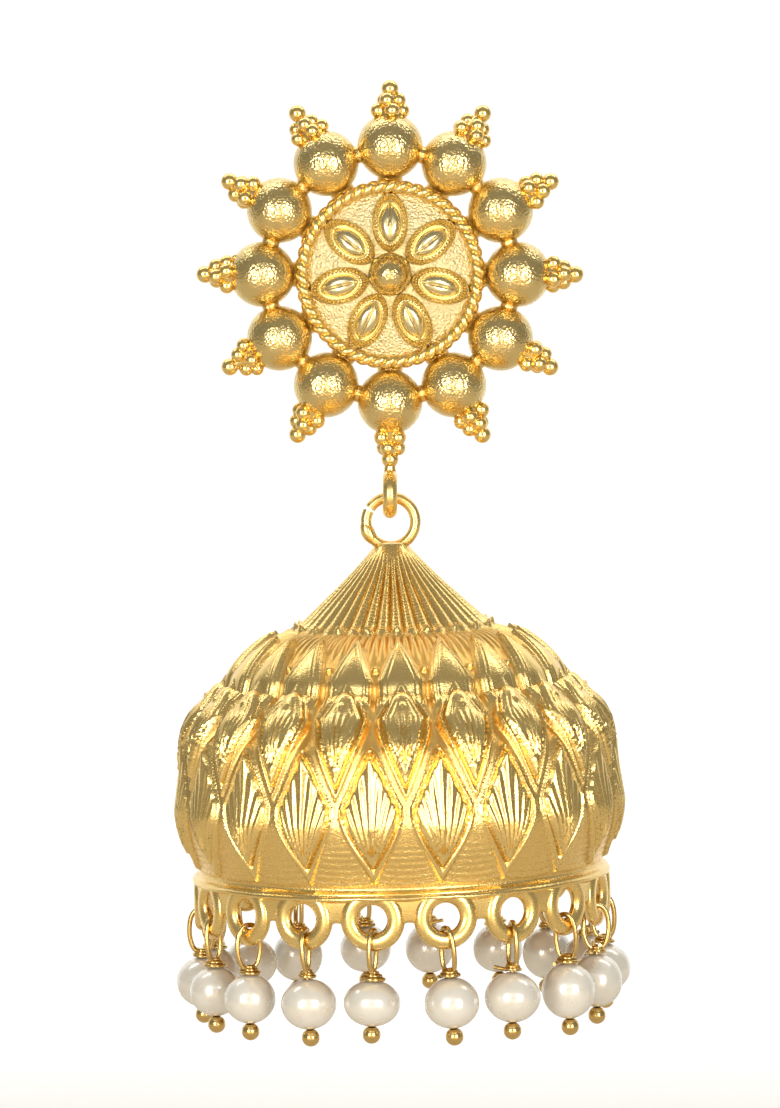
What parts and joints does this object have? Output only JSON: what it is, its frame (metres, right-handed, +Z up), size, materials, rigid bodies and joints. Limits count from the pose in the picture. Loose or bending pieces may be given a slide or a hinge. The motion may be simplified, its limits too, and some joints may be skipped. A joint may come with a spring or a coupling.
{
  "type": "drop earring",
  "caption": "Flower stud of soldered balls with a hollow hanging bell, fringed with pearls on head pins, gold coloured.",
  "frame": {"origin": "the middle of the stud's flat back, where the ear post leaves it", "axes": "+Z up, -Y out of the stud's face towards the viewer, +X to the right seen from the front"},
  "size_m": [0.0347, 0.0342, 0.0718],
  "materials": {
    "gold": "satin",
    "pearl": "lustrous"
  },
  "bodies": {
    "stud": {"stud": "gold"},
    "drop": {"dome": "gold", "pearl_01": "pearl", "pearl_02": "pearl", "pearl_03": "pearl", "pearl_04": "pearl", "pearl_05": "pearl", "pearl_06": "pearl", "pearl_07": "pearl", "pearl_08": "pearl", "pearl_09": "pearl", "pearl_10": "pearl", "pearl_11": "pearl", "pearl_12": "pearl", "pearl_13": "pearl", "pearl_14": "pearl", "pearl_15": "pearl", "pearl_16": "pearl", "pearl_17": "pearl", "pearl_18": "pearl", "head_pin_01": "gold", "head_pin_02": "gold", "head_pin_03": "gold", "head_pin_04": "gold", "head_pin_05": "gold", "head_pin_06": "gold", "head_pin_07": "gold", "head_pin_08": "gold", "head_pin_09": "gold", "head_pin_10": "gold", "head_pin_11": "gold", "head_pin_12": "gold", "head_pin_13": "gold", "head_pin_14": "gold", "head_pin_15": "gold", "head_pin_16": "gold", "head_pin_17": "gold", "head_pin_18": "gold"}
  },
  "joints": [
    {"name": "drop_swing", "type": "hinge", "parent": "stud", "child": "drop", "pos_m": [0, -0.0024, -0.01688], "axis": [1, 0, 0], "range_deg": [-75, 75]}
  ]
}
